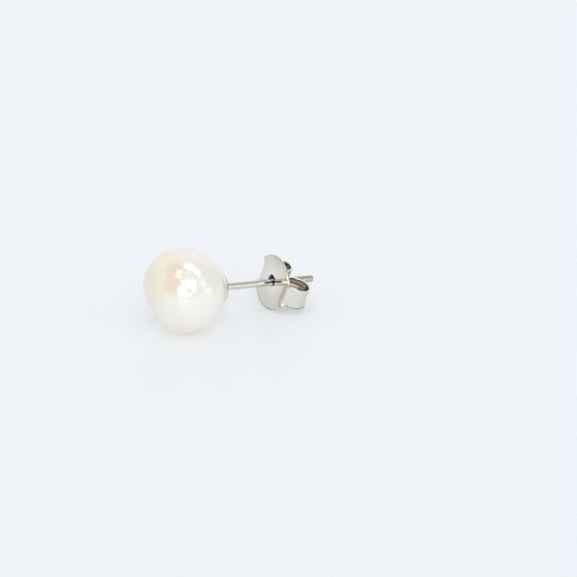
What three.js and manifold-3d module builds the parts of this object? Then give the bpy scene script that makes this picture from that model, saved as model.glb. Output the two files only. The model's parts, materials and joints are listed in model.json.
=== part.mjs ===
// Baroque pearl stud earring, lying on its pearl and on the rim of its clutch. Millimetres, +Z up.
import * as THREE from 'three';
import { mergeVertices } from 'three/addons/utils/BufferGeometryUtils.js';
import Module from 'manifold-3d';

const wasm = await Module();
wasm.setup();

// The stud's own frame has its origin in the middle of the pearl, X along the post towards the clutch,
// Z up across the post, and Y on the side of the clutch's higher arm. Angles are in degrees.

// Pearl
const PEARL_RADIUS = 4.2;
const PEARL_RINGS = 34;
const PEARL_SIDES = 48;
const BARE_DOME = 28; // angle round the post within which the pearl is a true dome, under the cup
const DOME_FADE = 16; // angle over which the swells come in outside that
const PEARL_SWELLS = [
  // Each swell or hollow: where it is, how far it stands out and how wide it spreads
  { azimuth: 128, elevation: 40, height: 0.24, spread: 42 },
  { azimuth: -18, elevation: 46, height: -0.17, spread: 30 },
  { azimuth: 157, elevation: -34, height: -0.34, spread: 34 },
  { azimuth: -51, elevation: -36, height: -0.06, spread: 26 },
  { azimuth: 0, elevation: -82, height: 0.16, spread: 36 },
  { azimuth: 70, elevation: -10, height: -0.16, spread: 28 },
  { azimuth: 176, elevation: 10, height: 0.05, spread: 22 },
  { azimuth: -122, elevation: 44, height: -0.07, spread: 15 },
  { azimuth: -148, elevation: 22, height: 0.06, spread: 14 },
  { azimuth: -100, elevation: 26, height: 0.05, spread: 13 },
];

// Post, cup and peg, soldered together
const POST_RADIUS = 0.37;
const POST_TIP_AT = 15.5;
const POST_TIP_ROUND = 0.2;
const PEG_RADIUS = 0.35;
const PEG_END_AT = 1.9;
const DRILL_RADIUS = 0.45;
const DRILL_END_AT = 1.75;
const CUP_RADIUS = 1.65;
const CUP_EDGE = 0.1;
const CUP_MIDDLE = 0.24;
const SOLDER_FILLET = 0.25;
const GLUE_GAP = 0.05;
const CUP_STEPS = 8;
const ROUND_STEPS = 4;
const LATHE_SIDES = 32;

// Clutch, one strip of sheet with a round plate in the middle
const SHEET = 0.24;
const PLATE_RADIUS = 2.84;
// Each arm: from the post's axis to the fold, the fold's angle, straight after it, how far it turns in all
const FAR_ARM = { flat: 1.85, fold: 66, leg: 1.2, end: 372 };
const NEAR_ARM = { flat: 2.1, fold: 50, leg: 1.05, end: 310 };
const FOLD_RADIUS = 0.4;
const TURN_RADIUS = 1.3;
const GRIP_GAP = 0.06; // between each scroll and the post
const ARM_ROOT_HALF = 1.15;
const ARM_END_HALF = 0.95;
const ROOT_FILLET = 0.2; // how far the plate's round edge runs out into the arm
const LOBE = { from: 0.9, to: 1.6, hold: 0.5 }; // across the strip, the fold moves out to keep the lobes flat
const HOLE_RADIUS = 0.6;
const HOLE_RISE = 0.17;
const HOLE_CUT = 4 * SHEET; // length of the cutter
const ACROSS_STEPS = 12;
const FLAT_STEPS = 12;
const FOLD_STEPS = 5;
const LEG_STEPS = 3;
const TURN_STEPS = 12;
const INNER_STEPS = 13;

// Finishes
const SILVER = { color: 0xd2cfca, roughness: 0.16, metalness: 1 };
const NACRE = { color: 0xeee6d8, roughness: 0.22, metalness: 0 };

// Pose
const CLUTCH_AT = 10.35; // front of the plate, from the middle of the pearl
const CLUTCH_TURN = 17; // the clutch is turned on the post
const CLUTCH_LEAN = 2.5; // and leans on it
const REST_TILT = 8; // the post slopes down from the pearl

const rad = THREE.MathUtils.degToRad;
const { smoothstep, lerp } = THREE.MathUtils;

function geometryOf(points, triangles) {
  const geometry = new THREE.BufferGeometry();
  geometry.setAttribute('position', new THREE.Float32BufferAttribute(points.flat(), 3));
  geometry.setIndex(triangles.flat());
  geometry.computeVertexNormals();
  return geometry;
}

function solidOf(geometry) {
  const bare = geometry.clone();
  bare.deleteAttribute('normal');
  bare.deleteAttribute('uv');
  const merged = mergeVertices(bare);
  const vertProperties = new Float32Array(merged.attributes.position.array);
  const triVerts = new Uint32Array(merged.index.array);
  return new wasm.Manifold(new wasm.Mesh({ numProp: 3, vertProperties, triVerts }));
}

function cut(geometry, tool) {
  const mesh = solidOf(geometry).subtract(solidOf(tool)).getMesh();
  const result = new THREE.BufferGeometry();
  result.setAttribute('position', new THREE.BufferAttribute(mesh.vertProperties, 3));
  result.setIndex(new THREE.BufferAttribute(mesh.triVerts, 1));
  result.computeVertexNormals();
  return result;
}

function directionOf(azimuth, elevation) {
  const across = Math.cos(rad(elevation));
  return new THREE.Vector3(
    across * Math.cos(rad(azimuth)),
    across * Math.sin(rad(azimuth)),
    Math.sin(rad(elevation)),
  );
}

// Half of the strip's front line from the middle of the plate, as straight and bent sections: flat, fold,
// straight leg, outer turn, and an inner turn that comes back beside the post.
function stripSections({ flat, fold, leg, end }) {
  const legOut = flat + FOLD_RADIUS * Math.sin(rad(fold)) + leg * Math.cos(rad(fold));
  const turnMiddle = legOut - TURN_RADIUS * Math.sin(rad(fold));
  const bent = (radius, bend, steps) => ({ length: radius * rad(bend), bend, steps });
  return [
    { length: flat, bend: 0, steps: FLAT_STEPS },
    bent(FOLD_RADIUS, fold, FOLD_STEPS),
    { length: leg, bend: 0, steps: LEG_STEPS },
    bent(TURN_RADIUS, 180 - fold, TURN_STEPS),
    bent(turnMiddle - POST_RADIUS - GRIP_GAP, end - 180, INNER_STEPS),
  ];
}

// Distances along the strip at which it gets a row of points
function stripRows(sections) {
  const rows = [0];
  for (const { length, steps } of sections) {
    const start = rows.at(-1);
    for (let i = 1; i <= steps; i += 1) rows.push(start + (length * i) / steps);
  }
  return rows;
}

// Where a distance along the strip comes to lie, and how far the strip has turned there
function placeAlong(along, sections) {
  let [out, back, turn, left] = [0, 0, 0, along];
  for (const { length, bend } of sections) {
    const step = Math.min(left, length);
    const next = turn + (bend * step) / length;
    if (bend === 0) {
      out += step * Math.cos(rad(turn));
      back += step * Math.sin(rad(turn));
    } else {
      const radius = length / rad(bend);
      out += radius * (Math.sin(rad(next)) - Math.sin(rad(turn)));
      back += radius * (Math.cos(rad(turn)) - Math.cos(rad(next)));
    }
    turn = next;
    left -= step;
    if (left <= 0) break;
  }
  return { out, back, turn };
}

// Half width of the strip: the plate's circle, running out into an arm that narrows to its end
function halfWidth(along, length) {
  const arm = lerp(ARM_ROOT_HALF, ARM_END_HALF, along / length);
  const circle = Math.sqrt(Math.max(PLATE_RADIUS ** 2 - along ** 2, 0));
  const gap = circle - arm;
  return arm + (gap + Math.hypot(gap, ROOT_FILLET * smoothstep(along, 0, PLATE_RADIUS))) / 2;
}

function clutchGeometry() {
  const row = ACROSS_STEPS + 1;
  const shares = Array.from({ length: row }, (_, j) => (2 * j) / ACROSS_STEPS - 1);
  const arms = [FAR_ARM, NEAR_ARM].map((arm) => {
    const sections = stripSections(arm);
    return { sections, rows: stripRows(sections) };
  });
  const tips = arms[0].rows.length - 1;
  const layer = (2 * tips + 1) * row;
  const points = [];
  for (const depth of [0, SHEET]) {
    for (let place = -tips; place <= tips; place += 1) {
      const { sections, rows } = arms[place < 0 ? 0 : 1];
      const along = rows[Math.abs(place)];
      const width = halfWidth(along, rows.at(-1));
      shares.forEach((share) => {
        const across = width * share;
        const held = LOBE.hold * smoothstep(Math.abs(across), LOBE.from, LOBE.to);
        const { out, back, turn } = placeAlong(along - held, sections);
        const sideways = Math.sign(place) * (out + held - depth * Math.sin(rad(turn)));
        points.push([back + depth * Math.cos(rad(turn)), -sideways, across]);
      });
    }
  }
  const triangles = [];
  const quad = (a, b, c, d) => triangles.push([a, b, c], [a, c, d]);
  for (let i = 0; i < 2 * tips; i += 1) {
    for (let j = 0; j < ACROSS_STEPS; j += 1) {
      const a = i * row + j;
      quad(a, a + row, a + row + 1, a + 1);
      quad(layer + a, layer + a + 1, layer + a + row + 1, layer + a + row);
    }
    const low = i * row;
    const high = low + ACROSS_STEPS;
    quad(low, layer + low, layer + low + row, low + row);
    quad(high, high + row, layer + high + row, layer + high);
  }
  const last = 2 * tips * row;
  for (let j = 0; j < ACROSS_STEPS; j += 1) {
    quad(j, j + 1, layer + j + 1, layer + j);
    quad(last + j, layer + last + j, layer + last + j + 1, last + j + 1);
  }
  const drill = new THREE.CylinderGeometry(HOLE_RADIUS, HOLE_RADIUS, HOLE_CUT, LATHE_SIDES);
  drill.rotateZ(Math.PI / 2);
  drill.translate(0, 0, HOLE_RISE);
  return cut(geometryOf(points, triangles), drill);
}

// The peg in the pearl, the cup that follows the pearl's dome, and the post, turned about one axis
function postGeometry() {
  const seat = PEARL_RADIUS + GLUE_GAP;
  const profile = [[0, PEG_END_AT], [PEG_RADIUS, PEG_END_AT]];
  const pegAngle = Math.asin(PEG_RADIUS / seat);
  const filletAngle = Math.asin((POST_RADIUS + SOLDER_FILLET) / (seat + CUP_MIDDLE));
  const edgeAngle = Math.asin(CUP_RADIUS / seat);
  for (let i = 0; i <= CUP_STEPS; i += 1) {
    const angle = lerp(pegAngle, edgeAngle, i / CUP_STEPS);
    profile.push([seat * Math.sin(angle), seat * Math.cos(angle)]);
  }
  for (let i = CUP_STEPS; i >= 0; i -= 1) {
    const angle = lerp(filletAngle, edgeAngle, i / CUP_STEPS);
    const outside = seat + lerp(CUP_MIDDLE, CUP_EDGE, i / CUP_STEPS);
    profile.push([outside * Math.sin(angle), outside * Math.cos(angle)]);
  }
  const [filletOut, filletAt] = profile.at(-1);
  for (let i = 1; i <= ROUND_STEPS; i += 1) {
    const angle = (Math.PI / 2) * (i / ROUND_STEPS);
    const away = filletOut - SOLDER_FILLET * Math.sin(angle);
    profile.push([away, filletAt + SOLDER_FILLET * (1 - Math.cos(angle))]);
  }
  for (let i = 0; i <= ROUND_STEPS; i += 1) {
    const angle = (Math.PI / 2) * (i / ROUND_STEPS);
    const away = POST_RADIUS - POST_TIP_ROUND * (1 - Math.cos(angle));
    profile.push([away, POST_TIP_AT - POST_TIP_ROUND * (1 - Math.sin(angle))]);
  }
  profile.push([0, POST_TIP_AT]);
  const outline = profile.map(([away, along]) => new THREE.Vector2(away, along));
  const geometry = new THREE.LatheGeometry(outline, LATHE_SIDES);
  geometry.rotateZ(-Math.PI / 2);
  return geometry;
}

// Distance of the pearl's skin from its middle: a round pearl with swells and hollows,
// a true dome under the cup, and a small flat where it rests.
function pearlRadius(direction, down, restDepth) {
  let swell = 0;
  for (const { azimuth, elevation, height, spread } of PEARL_SWELLS) {
    const away = direction.angleTo(directionOf(azimuth, elevation));
    swell += height * Math.exp(-((away / rad(spread)) ** 2));
  }
  const fromPost = Math.acos(THREE.MathUtils.clamp(direction.x, -1, 1));
  const radius = PEARL_RADIUS + swell * smoothstep(fromPost, rad(BARE_DOME), rad(BARE_DOME + DOME_FADE));
  const lowness = direction.dot(down);
  return lowness > 0 ? Math.min(radius, restDepth / lowness) : radius;
}

function pearlGeometry(down, restDepth) {
  const points = [[DRILL_END_AT, 0, 0]];
  const rings = [{ at: DRILL_END_AT }];
  for (let i = 0; i < PEARL_RINGS; i += 1) {
    rings.push({ angle: lerp(Math.asin(DRILL_RADIUS / PEARL_RADIUS), Math.PI, i / PEARL_RINGS) });
  }
  for (const { at, angle } of rings) {
    for (let j = 0; j < PEARL_SIDES; j += 1) {
      const round = (2 * Math.PI * j) / PEARL_SIDES;
      if (at !== undefined) {
        points.push([at, DRILL_RADIUS * Math.cos(round), DRILL_RADIUS * Math.sin(round)]);
      } else {
        const direction = new THREE.Vector3(
          Math.cos(angle),
          Math.sin(angle) * Math.cos(round),
          Math.sin(angle) * Math.sin(round),
        );
        points.push(direction.multiplyScalar(pearlRadius(direction, down, restDepth)).toArray());
      }
    }
  }
  const pole = points.length;
  const far = new THREE.Vector3(-1, 0, 0);
  points.push([-pearlRadius(far, down, restDepth), 0, 0]);
  const triangles = [];
  for (let j = 0; j < PEARL_SIDES; j += 1) {
    const next = (j + 1) % PEARL_SIDES;
    triangles.push([0, 1 + j, 1 + next]);
    for (let i = 0; i + 1 < rings.length; i += 1) {
      const a = 1 + i * PEARL_SIDES;
      const b = a + PEARL_SIDES;
      triangles.push([a + j, b + j, b + next], [a + j, b + next, a + next]);
    }
    const last = 1 + (rings.length - 1) * PEARL_SIDES;
    triangles.push([last + j, pole, last + next]);
  }
  return geometryOf(points, triangles);
}

// How far the lowest point of a placed mesh lies along a direction
function reachAlong(mesh, direction) {
  mesh.updateMatrix();
  const places = mesh.geometry.attributes.position;
  const point = new THREE.Vector3();
  let reach = -Infinity;
  for (let i = 0; i < places.count; i += 1) {
    point.fromBufferAttribute(places, i).applyMatrix4(mesh.matrix);
    reach = Math.max(reach, point.dot(direction));
  }
  return reach;
}

function named(name, geometry, finish) {
  const mesh = new THREE.Mesh(geometry, new THREE.MeshStandardMaterial(finish));
  mesh.name = name;
  return mesh;
}

const butterflyBack = named('butterfly_back', clutchGeometry(), SILVER);
butterflyBack.position.x = CLUTCH_AT;
butterflyBack.rotation.set(rad(CLUTCH_TURN), rad(CLUTCH_LEAN), 0);

const down = new THREE.Vector3(Math.sin(rad(REST_TILT)), 0, -Math.cos(rad(REST_TILT)));
const restDepth = reachAlong(butterflyBack, down);
const pearl = named('pearl', pearlGeometry(down, restDepth), NACRE);
const earPost = named('ear_post', postGeometry(), SILVER);

// The stud tilts until pearl and clutch meet the floor, and is centred over the origin
const stud = new THREE.Group();
stud.add(pearl, earPost, butterflyBack);
stud.rotation.y = rad(REST_TILT);
const group = new THREE.Group();
group.add(stud);
const box = new THREE.Box3().setFromObject(group, true);
const middle = box.getCenter(new THREE.Vector3());
stud.position.set(-middle.x, -middle.y, -box.min.z);
group.updateMatrixWorld(true);

export default group;
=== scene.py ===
# Baroque pearl stud earring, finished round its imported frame: pearl, post with its cup, butterfly back
import json
import math

import bpy
import numpy as np
from mathutils import Matrix


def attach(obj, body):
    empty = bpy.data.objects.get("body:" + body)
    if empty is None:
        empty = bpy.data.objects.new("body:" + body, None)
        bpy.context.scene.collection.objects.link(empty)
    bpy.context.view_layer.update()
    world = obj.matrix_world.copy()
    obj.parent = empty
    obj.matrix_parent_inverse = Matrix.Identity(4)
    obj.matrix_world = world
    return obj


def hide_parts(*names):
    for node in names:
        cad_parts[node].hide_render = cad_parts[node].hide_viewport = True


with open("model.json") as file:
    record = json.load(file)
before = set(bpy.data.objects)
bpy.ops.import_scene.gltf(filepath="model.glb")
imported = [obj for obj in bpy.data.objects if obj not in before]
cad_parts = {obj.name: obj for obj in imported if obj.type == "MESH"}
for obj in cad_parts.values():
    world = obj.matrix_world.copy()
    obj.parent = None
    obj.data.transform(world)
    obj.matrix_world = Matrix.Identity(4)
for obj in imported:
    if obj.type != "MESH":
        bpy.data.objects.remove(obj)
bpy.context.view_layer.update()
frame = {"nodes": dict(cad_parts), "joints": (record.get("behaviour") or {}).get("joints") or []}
mm = 0.001  # sizes are in mm and angles in degrees unless a note says otherwise; Blender's unit is the metre
stud = {"tipAt": 15.5, "clutchAt": 10.35}  # places along the post, from the middle of the pearl
nearSide = -90  # compass angle of the side with the near arm


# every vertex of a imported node, in metres
def nodePoints(name):
    mesh = frame["nodes"][name].data
    flat = np.empty(3 * len(mesh.vertices), np.float32)
    mesh.vertices.foreach_get("co", flat)
    return flat.reshape(-1, 3).astype(float)


# stud axes: x along the post to the clutch, y to the far side, z up across the post, origin mid-pearl
postAxis = np.array(frame["joints"][0]["axis"], float)
postAxis /= np.linalg.norm(postAxis)
sideAxis = np.array([0.0, 1.0, 0.0])
studAxes = np.stack([postAxis, sideAxis, np.cross(postAxis, sideAxis)])
postReach = nodePoints("ear_post") @ studAxes.T / mm
pearlMiddle = (postReach.min(0) + postReach.max(0)) / 2
pearlMiddle[0] = postReach[:, 0].max() - stud["tipAt"]


# millimetres in the stud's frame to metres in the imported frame
def toRow(points):
    return (np.asarray(points) + pearlMiddle) @ studAxes * mm


middleAt = toRow([0, 0, 0])


# a place along the post to metres along its axis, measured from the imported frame's origin
def alongAxis(place):
    return float(toRow([place, 0, 0]) @ postAxis)


# 0 below low, 1 above high, and in between an S-shaped step of three squares less two cubes
def smooth(value, low, high):
    share = np.clip((value - low) / (high - low), 0, 1)
    return share * share * (3 - 2 * share)


# unit vector from a compass angle and a height angle
def direction(azimuth, elevation):
    a, e = math.radians(azimuth), math.radians(elevation)
    return np.array([math.cos(e) * math.cos(a), math.cos(e) * math.sin(a), math.sin(e)])


# right and up of something that looks along the opposite of back and is held level
def levelAxes(back):
    right = np.cross([0.0, 0.0, 1.0], back)
    right /= np.linalg.norm(right)
    return right, np.cross(back, right)


# stands a camera or a lamp at a place in metres, with its back to a direction
def standAt(thing, place, back):
    pose = np.eye(4)
    pose[:3, :3] = np.stack([*levelAxes(back), back], 1)
    pose[:3, 3] = place
    thing.matrix_world = Matrix(pose.tolist())
    bpy.context.scene.collection.objects.link(thing)


# Camera
lookout = {
    "azimuth": 34.5, "elevation": 22.0, "distance": 180.0,  # round from the near side, up, mm from the hole
    "picture": 577, "pixelsPerMm": 9.8, "holePixel": (271.3, 282.4),
    "sensor": 36.0, "nearClip": 1.0,
}


# the clutch's hole stands at its own pixel: the camera slides sideways and up from the line through it
def makeCamera(spec):
    back = direction(nearSide - spec["azimuth"], spec["elevation"])
    right, up = levelAxes(back)
    half = spec["picture"] / 2
    across = (spec["holePixel"][0] - half) / spec["pixelsPerMm"]
    above = (half - spec["holePixel"][1]) / spec["pixelsPerMm"]
    hole = toRow([stud["clutchAt"], 0, 0])
    place = hole + (spec["distance"] * back - across * right - above * up) * mm
    data = bpy.data.cameras.new("camera")
    data.sensor_width = spec["sensor"]
    data.lens = spec["sensor"] * spec["pixelsPerMm"] * spec["distance"] / spec["picture"]
    data.clip_start = spec["nearClip"] * mm
    camera = bpy.data.objects.new("camera", data)
    standAt(camera, place, back)
    bpy.context.scene.camera = camera
    print("camera at", np.round(place / mm, 1), "mm")


makeCamera(lookout)


# a shader socket that takes Python's operators; each expression adds its Math node
class Wire:
    def __init__(self, tree, socket=None):
        self.tree = tree
        self.socket = socket

    def node(self, kind, settings=None, inputs=None, output=0):
        made = self.tree.nodes.new("ShaderNode" + kind)
        for name, value in (settings or {}).items():
            setattr(made, name, value)
        for key, value in (inputs or {}).items():
            if isinstance(value, Wire):
                self.tree.links.new(value.socket, made.inputs[key])
            else:
                made.inputs[key].default_value = value
        return Wire(self.tree, made.outputs[output])

    def maths(self, operation, a, b):
        return self.node("Math", {"operation": operation}, {0: a, 1: b})

    def vector(self, operation, a, b=(0.0, 0.0, 0.0), output="Vector"):
        return self.node("VectorMath", {"operation": operation}, {0: a, 1: b}, output)

    def mix(self, share, colourA, colourB):  # the node's colour sockets are 6 and 7, and 2 among its outputs
        return self.node("Mix", {"data_type": "RGBA"}, {0: share, 6: colourA, 7: colourB}, 2)

    def between(self, low, high):  # 0 below low, 1 above high, smooth in between
        return self.node("MapRange", {"interpolation_type": "SMOOTHSTEP"},
                         {"Value": self, "From Min": low, "From Max": high})

    def place(self):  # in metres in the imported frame, because every piece's object sits at its origin
        return self.node("TexCoord", output="Object")

    def mark(self, name):  # a value that the mesh carries at each point
        return self.node("Attribute", {"attribute_name": name}, output="Fac")

    def noise(self, place, scale, detail):  # scale per metre
        return self.node("TexNoise", {}, {"Vector": place, "Scale": scale, "Detail": detail})

    def bump(self, height, distance):  # height from 0 to 1, distance in metres
        return self.node("Bump", {}, {"Height": height, "Distance": distance, "Strength": 1.0})

    def toward(self, facing, aim, spread):  # 1 where a unit vector points at aim, 0 past spread degrees
        aimed = self.vector("DOT_PRODUCT", facing, tuple(aim), "Value")
        return aimed.between(math.cos(math.radians(spread)), 1.0)

    def __add__(self, other):
        return self.maths("ADD", self, other)

    def __sub__(self, other):
        return self.maths("SUBTRACT", self, other)

    def __rsub__(self, other):
        return self.maths("SUBTRACT", other, self)

    def __mul__(self, other):
        return self.maths("MULTIPLY", self, other)

    __radd__ = __add__
    __rmul__ = __mul__


# a new material with its wire to build with and its shader, which gets the values that are even all over
def newMaterial(name, even):
    material = bpy.data.materials.new(name)
    material.use_nodes = True
    tree = material.node_tree
    shader = tree.nodes["Principled BSDF"]
    for key, value in even.items():
        shader.inputs[key].default_value = value
    return material, Wire(tree), shader


# links a value that changes over the surface to one of the shader's sockets
def feed(shader, key, value):
    value.tree.links.new(value.socket, shader.inputs[key])


# quads of a grid whose rows follow each other and close on themselves
def gridQuads(index):
    index = np.concatenate([index, index[:, :1]], 1)
    return np.stack([index[:-1, :-1], index[1:, :-1], index[1:, 1:], index[:-1, 1:]], -1).reshape(-1, 4)


# triangles from one point to a closed ring
def fan(pole, ring, inward=False):
    after = np.roll(ring, -1)
    around = (after, ring) if inward else (ring, after)
    return np.stack([np.full_like(ring, pole), *around], -1)


# a mesh from points in the stud's frame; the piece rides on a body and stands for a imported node
def makePiece(name, points, faces, material, body, node, slot):
    mesh = bpy.data.meshes.new(name)
    mesh.from_pydata(toRow(points).tolist(), [], [face for part in faces for face in part.tolist()])
    mesh.shade_smooth()
    mesh.materials.append(material)
    piece = bpy.data.objects.new(name, mesh)
    bpy.context.scene.collection.objects.link(piece)
    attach(piece, body)
    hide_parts(node)
    print(name, len(mesh.vertices), "vertices")
    return piece


# Pearl
pearl = {
    "radius": 4.2, "rings": 170, "sides": 240,
    "drillRadius": 0.45, "drillEndAt": 1.75, "bareDome": 28.0, "domeFade": 16.0,
    # each swell or hollow: compass angle, height angle, how far it stands out, spread
    "swells": [
        (128, 40, 0.24, 42), (-18, 46, -0.17, 30), (157, -34, -0.34, 34), (-51, -36, -0.06, 26),
        (0, -82, 0.16, 36), (70, -10, -0.16, 28), (176, 10, 0.05, 22), (-122, 44, -0.07, 15),
        (-148, 22, 0.06, 14), (-100, 26, 0.05, 13),
    ],
    "leastSlope": 1e-6,  # a direction that falls less than this never meets the floor
}


# radius over a grid of directions: a ball plus swells that fade out under the cup, held above the floor
def pearlRadius(toward, spec):
    swell = np.zeros(toward.shape[:-1])
    for azimuth, elevation, height, spread in spec["swells"]:
        away = np.degrees(np.arccos(np.clip(toward @ direction(azimuth, elevation), -1, 1)))
        swell += height * np.exp(-((away / spread) ** 2))
    fromPost = np.degrees(np.arccos(np.clip(toward[..., 0], -1, 1)))
    radius = spec["radius"] + swell * smooth(fromPost, spec["bareDome"], spec["bareDome"] + spec["domeFade"])
    floorDepth = middleAt[2] / mm
    slope = toward @ -studAxes[:, 2]
    return np.minimum(radius, floorDepth / np.maximum(slope, spec["leastSlope"]))


# rings of growing angle from the post: the drilled hole's end, its mouth, then the skin to the far pole
def pearlSurface(spec):
    mouth = math.asin(spec["drillRadius"] / spec["radius"])
    angle = np.linspace(mouth, math.pi, spec["rings"] + 1)[:-1, None]
    around = np.linspace(0, 2 * math.pi, spec["sides"], endpoint=False)[None]
    toward = np.stack(np.broadcast_arrays(
        np.cos(angle), np.sin(angle) * np.cos(around), np.sin(angle) * np.sin(around)), -1)
    skin = toward * pearlRadius(toward, spec)[..., None]
    drill = skin[:1].copy()
    drill[..., 0] = spec["drillEndAt"]
    far = np.array([[-1.0, 0.0, 0.0]])
    poles = np.array([[spec["drillEndAt"], 0, 0], (far * pearlRadius(far, spec)[:, None])[0]])
    points = np.concatenate([np.concatenate([drill, skin]).reshape(-1, 3), poles])
    index = np.arange((spec["rings"] + 1) * spec["sides"]).reshape(-1, spec["sides"])
    faces = [gridQuads(index), fan(len(points) - 2, index[0]), fan(len(points) - 1, index[-1], True)]
    return points, faces


nacre = {
    "even": {"IOR": 1.6, "Coat Weight": 1.0, "Coat Roughness": 0.1, "Coat IOR": 2.0},
    "cream": (0.86, 0.82, 0.735, 1), "milk": (0.88, 0.855, 0.80, 1),
    # each overtone: compass angle, height angle, spread, share, colour
    "overtones": [
        (-176, 22, 62, 0.9, (0.89, 0.82, 0.65, 1)),  # straw
        (-145, 42, 17, 0.85, (0.83, 0.67, 0.54, 1)),  # rose
        (-139, 23, 19, 0.9, (0.83, 0.67, 0.54, 1)),  # rose
        (-96, 26, 30, 0.8, (0.80, 0.85, 0.76, 1)),  # green
        (-66, 14, 36, 0.6, (0.88, 0.835, 0.71, 1)),  # cream
        (-118, -22, 55, 0.7, (0.92, 0.88, 0.83, 1)),  # milk
        (-110, -70, 45, 0.8, (0.87, 0.81, 0.69, 1)),  # straw below
        (40, 30, 45, 0.8, (0.88, 0.76, 0.65, 1)),  # rose on the far side
        (100, -5, 50, 0.7, (0.81, 0.84, 0.76, 1)),  # green on the far side
    ],
    "roughness": (0.26, 0.38), "ripple": 0.012,
    "cloudGrain": (260.0, 3.0), "roughGrain": (700.0, 2.0), "rippleGrain": (450.0, 1.0),  # scale, detail
}


# cream nacre: clouds of two tones, overtones that fade out round their places, a slow ripple of the layers
def nacreMaterial(spec):
    material, wire, shader = newMaterial("nacre", spec["even"])
    place = wire.place()
    facing = wire.vector("NORMALIZE", wire.vector("SUBTRACT", place, tuple(middleAt)))
    colour = wire.mix(wire.noise(place, *spec["cloudGrain"]), spec["cream"], spec["milk"])
    for azimuth, elevation, spread, share, tint in spec["overtones"]:
        aim = direction(azimuth, elevation) @ studAxes
        colour = wire.mix(share * wire.toward(facing, aim, spread), colour, tint)
    feed(shader, "Base Color", colour)
    low, high = spec["roughness"]
    feed(shader, "Roughness", low + (high - low) * wire.noise(place, *spec["roughGrain"]))
    feed(shader, "Normal", wire.bump(wire.noise(place, *spec["rippleGrain"]), spec["ripple"] * mm))
    return material


makePiece("pearl_skin", *pearlSurface(pearl), nacreMaterial(nacre), "stud", "pearl", "nacre")

# Silver, for the post and the clutch
silver = {
    "bright": (0.90, 0.885, 0.855, 1), "warm": (0.78, 0.74, 0.675, 1),
    "polish": (0.05, 0.12), "waves": 0.002,
    "cloudGrain": (500.0, 3.0), "polishGrain": (1500.0, 4.0), "waveGrain": (900.0, 1.0),  # scale, detail
}


# polished silver: warmer clouds, an uneven polish and shallow waves, under the marks of its own piece
def silverMaterial(name, spec, addMarks):
    material, wire, shader = newMaterial(name, {"Metallic": 1.0})
    place = wire.place()
    colour = wire.mix(wire.noise(place, *spec["cloudGrain"]), spec["bright"], spec["warm"])
    low, high = spec["polish"]
    rough = low + (high - low) * wire.noise(place, *spec["polishGrain"])
    colour, rough = addMarks(wire, place, colour, rough, spec)
    feed(shader, "Base Color", colour)
    feed(shader, "Roughness", rough)
    feed(shader, "Normal", wire.bump(wire.noise(place, *spec["waveGrain"]), spec["waves"] * mm))
    return material


# Post with its cup and peg
post = {
    "radius": 0.37, "tipAt": stud["tipAt"], "tipRound": 0.2,
    "pegRadius": 0.35, "pegEndAt": 1.9,
    "cupRadius": 1.65, "cupEdge": 0.1, "cupMiddle": 0.24,
    "solderFillet": 0.25, "glueGap": 0.05,
    "sides": 96, "cupSteps": 24, "roundSteps": 8, "shaftSteps": 40,
}


# profile of distance from the axis against place along it, from the peg's end to the post's tip
def postProfile(spec):
    seat = pearl["radius"] + spec["glueGap"]
    quarter = np.linspace(0, math.pi / 2, spec["roundSteps"] + 1)
    pegAngle = math.asin(spec["pegRadius"] / seat)
    edgeAngle = math.asin(spec["cupRadius"] / seat)
    filletOut = spec["radius"] + spec["solderFillet"]
    filletAngle = math.asin(filletOut / (seat + spec["cupMiddle"]))
    under = np.linspace(pegAngle, edgeAngle, spec["cupSteps"] + 1)
    over = np.linspace(edgeAngle, filletAngle, spec["cupSteps"] + 1)
    outside = seat + np.linspace(spec["cupEdge"], spec["cupMiddle"], spec["cupSteps"] + 1)
    filletAt = outside[-1] * math.cos(filletAngle)
    shaftFrom, shaftTo = filletAt + spec["solderFillet"], spec["tipAt"] - spec["tipRound"]
    shaft = np.linspace(shaftFrom, shaftTo, spec["shaftSteps"])[1:-1]
    away = [
        [spec["pegRadius"]], seat * np.sin(under), outside * np.sin(over),
        filletOut - spec["solderFillet"] * np.sin(quarter[1:]),
        np.full(len(shaft), spec["radius"]),
        spec["radius"] - spec["tipRound"] * (1 - np.cos(quarter)),
    ]
    along = [
        [spec["pegEndAt"]], seat * np.cos(under), outside * np.cos(over),
        filletAt + spec["solderFillet"] * (1 - np.cos(quarter[1:])),
        shaft,
        spec["tipAt"] - spec["tipRound"] * (1 - np.sin(quarter)),
    ]
    return np.concatenate(away), np.concatenate(along)


# the profile turned about the post's axis, closed by a point at each end
def postSurface(spec):
    away, along = postProfile(spec)
    around = np.linspace(0, 2 * math.pi, spec["sides"], endpoint=False)
    rings = np.stack(np.broadcast_arrays(
        along[:, None], away[:, None] * np.cos(around), away[:, None] * np.sin(around)), -1)
    ends = np.array([[spec["pegEndAt"], 0, 0], [spec["tipAt"], 0, 0]])
    points = np.concatenate([rings.reshape(-1, 3), ends])
    index = np.arange(rings.shape[0] * spec["sides"]).reshape(-1, spec["sides"])
    caps = [fan(len(points) - 2, index[0], True), fan(len(points) - 1, index[-1])]
    return points, [gridQuads(index)[:, ::-1]] + caps


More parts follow.
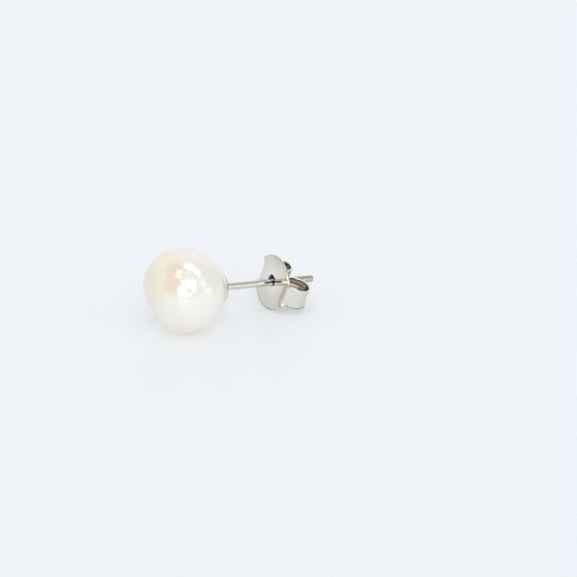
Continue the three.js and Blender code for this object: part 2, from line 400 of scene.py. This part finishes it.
drawnWire = {
    **silver, "bright": (0.76, 0.74, 0.705, 1), "warm": (0.69, 0.66, 0.61, 1), "polish": (0.2, 0.3),
    # each place with painted shade: where along the post it begins and is full, and its colour
    "paintedShade": [
        # painted shade where the cup meets the pearl
        (4.34, 4.1, (0.38, 0.37, 0.34, 1)),  # the cup towards its rim
        # painted shade on the post behind the clutch, out to the tip
        (11.5, 13.0, (0.55, 0.54, 0.50, 1)),  # the tip
    ],
    # each painted dark mark, a painted reflection along one side and a painted shadow in the clutch's hole:
    # where along the post it starts and is full, where it fades and ends, height of the side that it lies on,
    # how far it reaches round, and the share of the painted dark where that is thinnest
    "marks": [
        (8.95, 9.5, 10.5, 11.0, 25.0, 24.0, 1.0),  # painted dark reflection
        (10.36, 10.50, 10.6, 11.1, 60.0, 180.0, 0.5),  # painted shadow in the clutch's hole
    ],
    "paintedDark": (0.04, 0.033, 0.026, 1), "paintedDarkGrain": (1600.0, 3.0), "paintedDarkBreaks": (0.2, 0.6),
}


# painted shade by place along the post, then a painted dark reflection on one side of the wire and a painted
# shadow all round it
def wireMarks(wire, place, colour, rough, spec):
    along = wire.vector("DOT_PRODUCT", place, tuple(postAxis), "Value")
    for begins, full, tint in spec["paintedShade"]:
        colour = wire.mix(along.between(alongAxis(begins), alongAxis(full)), colour, tint)
    spoke = wire.vector("SUBTRACT", place, tuple(middleAt))
    onAxis = wire.vector("PROJECT", spoke, tuple(postAxis))
    outward = wire.vector("NORMALIZE", wire.vector("SUBTRACT", spoke, onAxis))
    uneven = wire.noise(place, *spec["paintedDarkGrain"]).between(*spec["paintedDarkBreaks"])
    # a painted dark reflection along one side and a painted shadow round the post in the clutch's hole
    for starts, full, fades, ends, height, reach, thinnest in spec["marks"]:
        marked = wire.toward(outward, direction(nearSide, height) @ studAxes, reach)
        marked = marked * along.between(alongAxis(starts), alongAxis(full))
        marked = marked * (1 - along.between(alongAxis(fades), alongAxis(ends)))
        colour = wire.mix(marked * (thinnest + (1 - thinnest) * uneven), colour, spec["paintedDark"])
    return colour, rough


makePiece("post_and_cup", *postSurface(post), silverMaterial("post_silver", drawnWire, wireMarks),
          "stud", "ear_post", "silver")

# Butterfly back: one strip of sheet, a round plate in the middle and an arm rolled up at each side
clutch = {
    "at": stud["clutchAt"], "turn": 17.0, "lean": 2.5,
    "sheet": 0.24, "plateRadius": 2.84,
    # each arm: from the post's axis to the fold, the fold's angle, straight after it, how far it turns in all
    "farArm": {"flat": 1.85, "fold": 66.0, "leg": 1.2, "end": 372.0},
    "nearArm": {"flat": 2.1, "fold": 50.0, "leg": 1.05, "end": 310.0},
    "foldRadius": 0.4, "turnRadius": 1.3, "gripGap": 0.06,
    "armRoot": 1.15, "armEnd": 0.95, "rootFillet": 0.2,
    "lobe": 0.5, "lobeFromTo": (0.9, 1.6),  # how far the fold moves out there, and where across the strip
    # the outer turn draws in along its middle; this and the tarnish with painted shade go by how far the
    # strip has turned
    "waist": 0.12, "waistGrows": (70.0, 120.0), "waistFades": (150.0, 190.0), "plateEnds": 25.0,
    "holeRadius": 0.6, "holeSide": 0.1, "holeRise": 0.17, "edgeRound": 0.07,
    "steps": (28, 16, 10, 44, 44), "acrossSteps": 40, "roundSteps": 4,
    "blockSteps": (14, 8), "ringSteps": 6,
    # tarnish and painted shade, from 0 to 1
    "tarnishAndShade": {
        # tarnish films on the plate's rim and the outer turn, painted black shadow where the arm rolls in,
        # and inside an even tarnish with painted reflection bands
        "plateRim": 0.25, "outerTurn": 0.2,
        "outerTurnFromTo": (55.0, 110.0), "rolledInFromTo": (258.0, 300.0),
        "inside": 0.45, "bandSpacing": 0.44, "firstBand": 0.14,  # the first band is so far from the edge
        "weakBands": 0.35, "strongBands": 0.9, "bandsFromTo": (180.0, 230.0),
    },
    # painted shade on the rims: on the plate by place across the strip, under each arm past its fold, and in
    # from the edge
    "rim": {
        "above": 0.35, "below": 0.8,
        "plateFromTo": (1.9, 2.8), "armFromTo": (0.35, 0.7), "inFromTo": (0.05, 0.2),
    },
    "crease": {"pastFold": 0.1, "spread": 0.25},  # the painted shade's middle past the start of the fold
}


# half of the strip's front line as lengths and bends: flat, fold, straight leg, outer turn, inner turn
def stripSections(arm, spec):
    flat, leg = arm["flat"], arm["leg"]
    fold, end = np.radians([arm["fold"], arm["end"]])
    legOut = flat + spec["foldRadius"] * math.sin(fold) + leg * math.cos(fold)
    inner = legOut - spec["turnRadius"] * math.sin(fold) - post["radius"] - spec["gripGap"]
    return [
        (flat, 0.0), (spec["foldRadius"] * fold, fold), (leg, 0.0),
        (spec["turnRadius"] * (math.pi - fold), math.pi - fold), (inner * (end - math.pi), end - math.pi),
    ]


# distances along the strip for its rows, with the rows that round its end and how far they draw in
def stripRows(sections, spec):
    starts = np.cumsum([0.0] + [length for length, bend in sections])
    stops = starts[1:].copy()
    stops[-1] -= spec["edgeRound"]
    pieces = [np.linspace(low, high, count, endpoint=False)
              for low, high, count in zip(starts, stops, spec["steps"])]
    quarter = np.linspace(0, math.pi / 2, spec["roundSteps"] + 1)
    rows = np.concatenate(pieces + [stops[-1] + spec["edgeRound"] * np.sin(quarter)])
    inset = np.zeros(len(rows))
    inset[-len(quarter):] = spec["edgeRound"] * (1 - np.cos(quarter))
    return rows, inset


# where a distance along the strip comes to lie after its bends, and how far the strip has turned there
def placeAlong(along, sections):
    out, back, turn, left = 0 * along, 0 * along, 0 * along, along
    for length, bend in sections:
        step = np.minimum(left, length)
        after = turn + bend * step / length
        if bend:
            out = out + length / bend * (np.sin(after) - np.sin(turn))
            back = back + length / bend * (np.cos(turn) - np.cos(after))
        else:
            out = out + step * np.cos(turn)
            back = back + step * np.sin(turn)
        turn, left = after, left - step
    return out, back, turn


# the plate's circle running out into an arm that narrows to its end
def halfWidth(along, spec):
    arm = spec["armRoot"] + (spec["armEnd"] - spec["armRoot"]) * along / along[-1]
    circle = np.sqrt(np.maximum(spec["plateRadius"] ** 2 - along ** 2, 0))
    gap = circle - arm
    return arm + (gap + np.hypot(gap, spec["rootFillet"] * smooth(along, 0, spec["plateRadius"]))) / 2


# a rounded bar's section, once round: front face, upper edge, back face, lower edge
def sheetSection(spec):
    rounding = spec["edgeRound"]
    quarter = np.linspace(0, math.pi / 2, spec["roundSteps"] + 1)[1:]
    face = np.linspace(-1, 1, spec["acrossSteps"] + 1)
    edgeShare = np.ones(2 * spec["roundSteps"])
    edgeOut = rounding * np.concatenate([np.sin(quarter), np.sin(quarter)[::-1]])
    edgeDepth = rounding * (1 - np.cos(quarter))
    edgeDepth = np.concatenate([edgeDepth, spec["sheet"] - edgeDepth[::-1]])
    share = np.concatenate([face, edgeShare, face[::-1], -edgeShare])
    wide = np.concatenate([0 * face, edgeOut, 0 * face, -edgeOut])
    depth = np.concatenate([0 * face, edgeDepth, 0 * face + spec["sheet"], edgeDepth[::-1]])
    return share, wide, depth


# tarnish and painted shade on the sheet: in front a tarnish film on the plate's rim and the outer turn, then
# full painted shadow where the arm rolls in; inside, painted reflection bands along the strip that swing
# about an even tarnish; none on the rounded edges
def tarnishAndShadeMark(at, spec):
    film = spec["plateRim"] * at["fromMiddle"] * at["plate"]
    turned = spec["outerTurn"] * smooth(at["bent"], *spec["outerTurnFromTo"])
    rolled = (1 - spec["outerTurn"]) * smooth(at["bent"], *spec["rolledInFromTo"])
    strength = (spec["strongBands"] - spec["weakBands"]) * smooth(at["bent"], *spec["bandsFromTo"])
    swing = np.cos(2 * math.pi * (at["fromEdge"] - spec["firstBand"]) / spec["bandSpacing"])
    inside = spec["inside"] * (1 + (spec["weakBands"] + strength) * swing * (1 - at["plate"]))
    tarnishAndShade = inside * at["behind"] + (film + turned + rolled) * (1 - at["behind"])
    return tarnishAndShade * (1 - at["roundedBy"])


# painted shade on the front at its rim: on the plate's upper and lower rim, and under the arms past the fold
def rimShadeMark(at, spec):
    onPlate = smooth(at["fromLine"], *spec["plateFromTo"]) * at["plate"]
    onPlate = onPlate * np.where(at["lower"], spec["below"], spec["above"])
    underArm = spec["below"] * at["lower"] * smooth(at["pastFold"], *spec["armFromTo"]) * (1 - at["plate"])
    return (onPlate + underArm) * (1 - smooth(at["fromEdge"], *spec["inFromTo"])) * (1 - at["behind"])


# painted shade along the near arm's fold, a bell across the crease
def creaseMark(at, spec):
    fromCrease = (at["pastFold"] - at["held"] - spec["pastFold"]) / spec["spread"]
    return np.exp(-fromCrease ** 2) * (1 - at["behind"]) * at["onNearArm"]


# one arm with its half of the plate: rows along the strip, columns once round its section; the fold moves
# out in the lobes, and the outer turn draws in along its middle; with the marks of each point
def armSurface(arm, side, spec):
    share, wide, depth = sheetSection(spec)
    sections = stripSections(arm, spec)
    rows, inset = stripRows(sections, spec)
    half = halfWidth(rows, spec)
    across = share * (half - spec["edgeRound"] - inset)[:, None] + wide
    fromLine = np.abs(across)
    held = spec["lobe"] * smooth(fromLine, *spec["lobeFromTo"])
    out, back, turn = placeAlong(rows[:, None] - held, sections)
    bent = np.degrees(turn)
    drawn = spec["waist"] * (1 - share ** 2) * smooth(bent, *spec["waistGrows"])
    drawn = drawn * (1 - smooth(bent, *spec["waistFades"]))
    deep = np.clip(depth[None], inset[:, None], spec["sheet"] - inset[:, None]) + drawn
    points = np.stack([back + deep * np.cos(turn), side * (out + held - deep * np.sin(turn)), across], -1)
    at = {
        "bent": bent, "plate": 1 - smooth(bent, 0, spec["plateEnds"]), "held": held,
        "fromLine": fromLine, "fromEdge": half[:, None] - fromLine,
        "fromMiddle": smooth(np.hypot(out, across), 0, spec["plateRadius"]),
        "pastFold": rows[:, None] - arm["flat"], "behind": depth[None] / spec["sheet"],
        "roundedBy": np.abs(wide) / spec["edgeRound"], "lower": share < 0, "onNearArm": side < 0,
    }
    marks = {
        "tarnishAndShade": tarnishAndShadeMark(at, spec["tarnishAndShade"]), "crease": creaseMark(at, spec["crease"]),
        "rim": rimShadeMark(at, spec["rim"]),
    }
    return points, marks


# clutch frame (back, side, across) to the stud's frame: leans, then turns on the post
def clutchToStud(points, spec):
    a, b = math.radians(spec["turn"]), math.radians(spec["lean"])
    lean = np.array([[math.cos(b), 0, math.sin(b)], [0, 1, 0], [-math.sin(b), 0, math.cos(b)]])
    turn = np.array([[1, 0, 0], [0, math.cos(a), -math.sin(a)], [0, math.sin(a), math.cos(a)]])
    return points @ (turn @ lean).T + np.array([spec["at"], 0, 0])


# the strip's end: quads between the front and back faces, and between the two halves of each edge
def endCap(front, rear, loop, spec):
    n = spec["roundSteps"]
    upper = loop[len(front):len(front) + 2 * n]
    lower = loop[2 * len(front) + 2 * n:]
    ahead = np.concatenate([lower[n:], front, upper[:n]])
    behind = np.concatenate([lower[:n][::-1], rear, upper[n:][::-1]])
    return np.stack([ahead[:-1], ahead[1:], behind[1:], behind[:-1]], -1)


# rings from a rim on the plate to the hole's lip, round into the hole, and the same backwards behind
def holeRings(rim, spec):
    centre = np.array([spec["holeSide"], spec["holeRise"]])
    bearing = rim - centre
    bearing /= np.linalg.norm(bearing, axis=1)[:, None]
    rounding = spec["edgeRound"]
    share = np.linspace(0, 1, spec["ringSteps"] + 1)[1:-1, None, None]
    quarter = np.linspace(0, math.pi / 2, spec["roundSteps"] + 1)[:, None, None]
    lip = centre + (spec["holeRadius"] + rounding) * bearing
    mouth = centre + (spec["holeRadius"] + rounding * (1 - np.sin(quarter))) * bearing
    place = np.concatenate([rim * (1 - share) + lip * share, mouth])
    depth = np.concatenate([0 * share, rounding * (1 - np.cos(quarter))])
    depth = np.broadcast_to(depth, (*place.shape[:2], 1))
    ahead = np.concatenate([depth, place], -1)
    behind = np.concatenate([spec["sheet"] - depth, place], -1)[::-1]
    return np.concatenate([ahead, behind])


# the grid round the plate's middle is left out, in front and behind, and rings join the two rims there
def holeInPlate(strip, index, front, rear, spec):
    rows, columns = index.shape
    faceCount = front.shape[1]
    halfRows, halfColumns = spec["blockSteps"]
    r0, r1 = rows // 2 - halfRows, rows // 2 + halfRows
    c0, c1 = faceCount // 2 - halfColumns, faceCount // 2 + halfColumns
    rearStart = faceCount + 2 * spec["roundSteps"]
    keep = np.ones((rows - 1, columns), bool)
    keep[r0:r1, c0:c1] = False
    keep[r0:r1, rearStart + c0:rearStart + c1] = False
    quads = gridQuads(index).reshape(rows - 1, columns, 4)[keep]

    def blockRim(face):
        return np.concatenate([face[r0:r1, c0], face[r1, c0:c1], face[r1:r0:-1, c1], face[r0, c1:c0:-1]])

    points = strip.reshape(-1, 3)
    start, end = blockRim(front), blockRim(rear)
    rings = holeRings(points[start][:, 1:], spec)
    ringIndex = len(points) + np.arange(rings.shape[0] * rings.shape[1]).reshape(rings.shape[:2])
    ringIndex = np.concatenate([start[None], ringIndex, end[None]])
    return np.concatenate([points, rings.reshape(-1, 3)]), [quads, gridQuads(ringIndex)[:, ::-1]]


# the far arm from its end to the plate's middle, then the near arm, with the hole cut and the ends closed
def clutchSurface(spec):
    far, farMarks = armSurface(spec["farArm"], 1, spec)
    near, nearMarks = armSurface(spec["nearArm"], -1, spec)
    strip = np.concatenate([far[:0:-1], near])
    index = np.arange(strip.shape[0] * strip.shape[1]).reshape(strip.shape[:2])
    faceCount = spec["acrossSteps"] + 1
    rearStart = faceCount + 2 * spec["roundSteps"]
    front = index[:, :faceCount]
    rear = index[:, rearStart:rearStart + faceCount][:, ::-1]
    points, faces = holeInPlate(strip, index, front, rear, spec)
    faces.append(endCap(front[0], rear[0], index[0], spec))
    faces.append(endCap(front[-1], rear[-1], index[-1], spec)[:, ::-1])
    marks = {}
    for name in farMarks:  # the hole's own points come last and carry no marks
        onStrip = np.concatenate([farMarks[name][:0:-1], nearMarks[name]]).ravel()
        marks[name] = np.concatenate([onStrip, np.zeros(len(points) - len(onStrip))])
    return clutchToStud(points, spec), faces, marks


bentSheet = {
    **silver, "tarnish": (0.57, 0.53, 0.40, 1), "paintedShadow": (0.07, 0.06, 0.045, 1), "tarnishRough": 0.1,
    # the crease and rim colours are painted shade
    "creaseShade": (0.60, 0.45, 0.31, 1), "rim": (0.22, 0.215, 0.20, 1),
    "tarnishFull": 0.5,  # the value at which tarnish is full and the painted black shadow begins
    "tarnishLeast": 0.85, "tarnishVaries": 0.3, "tarnishGrain": (1100.0, 3.0),
    "creaseShadeGrain": (800.0, 2.0), "creaseShadeBreaks": (0.25, 0.6),
}


# the clutch's marks: broken brown painted shade along the crease, tarnish and then painted black shadow,
# painted shade on the rims
def sheetMarks(wire, place, colour, rough, spec):
    uneven = spec["tarnishLeast"] + spec["tarnishVaries"] * wire.noise(place, *spec["tarnishGrain"])
    tarnishAndShade = wire.mark("tarnishAndShade") * uneven
    # broken brown painted shade along the crease
    creaseShaded = wire.mark("crease") * wire.noise(place, *spec["creaseShadeGrain"]).between(*spec["creaseShadeBreaks"])
    tarnished = tarnishAndShade.between(0.0, spec["tarnishFull"])
    colour = wire.mix(creaseShaded, colour, spec["creaseShade"])
    colour = wire.mix(tarnished, colour, spec["tarnish"])
    # painted black shadow where the arm rolls in and at the darkest painted bands
    colour = wire.mix(tarnishAndShade.between(spec["tarnishFull"], 1.0), colour, spec["paintedShadow"])
    # painted shade on the rims
    colour = wire.mix(wire.mark("rim"), colour, spec["rim"])
    return colour, rough - tarnished * (rough - spec["tarnishRough"])


clutchPoints, clutchFaces, clutchMarks = clutchSurface(clutch)
butterfly = makePiece("butterfly_clutch", clutchPoints, clutchFaces,
                      silverMaterial("clutch_silver", bentSheet, sheetMarks),
                      "clutch", "butterfly_back", "silver")
for name, values in clutchMarks.items():
    butterfly.data.attributes.new(name, "FLOAT", "POINT").data.foreach_set("value", values)

# Floor and light
stage = {
    "floorSize": 16.0,  # metres
    "floorColour": (0.586, 0.61, 0.635, 1), "floorGlow": 0.29, "floorRough": 0.4, "floorGloss": 0.2,
    "paintedGlowUnderPearl": (0.80, 0.765, 0.75, 1), "paintedGlowReach": 5.5,  # painted warm glow under the pearl
    "sky": 0.50,
    # each patch of the sky: compass angle, height angle, spread, how much lighter
    "patches": [
        (60, 15, 80, 0.42),  # pale backdrop
        (165, 30, 60, 0.26),  # glow from the left
        (38, 34, 26, 0.06),  # window behind
        (-8, 50, 24, -0.12),  # gap overhead
        (-114, 21, 12, -0.5),  # gap round the lens
    ],
    # each softbox: name, compass angle, height angle, width and height as angles, radiance
    "softboxes": [
        ("frontHigh", -107, 43, 25, 28, 2.2),
        ("frontLeft", -127, 17.5, 20, 25, 2.2),
        ("frontStep", -124, 33, 12.5, 14.5, 1.8),
        ("frontRight", -100, 22, 9, 15, 2.2),
        ("frontLow", -112, 10, 11, 9, 2.2),
        ("right", -61, 31, 24, 26, 0.85),
        ("rightLow", -52, 6, 24, 12, 1.1),
        ("overhead", -50, 70, 13, 32, 2.2),
        ("leftHigh", -140, 69, 14, 18, 2.0),
    ],
    "boxDistance": 2.0,  # metres
}


# a square at the surface that the stud lies on, with an even glow and a painted warm glow under the pearl
def makeFloor(spec):
    half = spec["floorSize"] / 2
    corners = [(-half, -half, 0), (half, -half, 0), (half, half, 0), (-half, half, 0)]
    mesh = bpy.data.meshes.new("floor")
    mesh.from_pydata(corners, [], [(0, 1, 2, 3)])
    material, wire, shader = newMaterial("floor", {
        "Base Color": spec["floorColour"], "Roughness": spec["floorRough"],
        "Specular IOR Level": spec["floorGloss"],
        "Emission Strength": spec["floorGlow"] / spec["floorColour"][1],
    })
    underPearl = middleAt * (1, 1, 0)
    # a painted warm glow round the point under the pearl
    away = wire.vector("DISTANCE", wire.place(), tuple(underPearl), "Value")
    paintedGlow = 1 - away.between(0, spec["paintedGlowReach"] * mm)
    feed(shader, "Emission Color", wire.mix(paintedGlow, spec["floorColour"], spec["paintedGlowUnderPearl"]))
    mesh.materials.append(material)
    floor = bpy.data.objects.new("floor", mesh)
    bpy.context.scene.collection.objects.link(floor)


# even grey sky with its lighter and darker patches
def makeSky(spec):
    world = bpy.data.worlds.new("sky")
    world.use_nodes = True
    bpy.context.scene.world = world
    wire = Wire(world.node_tree)
    toSky = wire.node("TexCoord", output="Generated")
    light = spec["sky"]
    for azimuth, elevation, spread, lighter in spec["patches"]:
        light = light + lighter * wire.toward(toSky, direction(azimuth, elevation), spread)
    background = world.node_tree.nodes["Background"]
    background.inputs["Color"].default_value = (1, 1, 1, 1)
    feed(background, "Strength", light)


# a softbox looks at the stud from its own direction; its power gives the radiance over its area
def makeSoftbox(name, azimuth, elevation, width, height, radiance, distance):
    data = bpy.data.lights.new(name, "AREA")
    data.shape = "RECTANGLE"
    data.size = 2 * distance * math.tan(math.radians(width / 2))
    data.size_y = 2 * distance * math.tan(math.radians(height / 2))
    data.energy = radiance * math.pi * data.size * data.size_y
    back = direction(azimuth, elevation)
    standAt(bpy.data.objects.new(name, data), distance * back, back)


makeFloor(stage)
makeSky(stage)
for softbox in stage["softboxes"]:
    makeSoftbox(*softbox, stage["boxDistance"])
bpy.context.scene.view_settings.view_transform = "Standard"
print("floor, sky and", len(stage["softboxes"]), "softboxes")
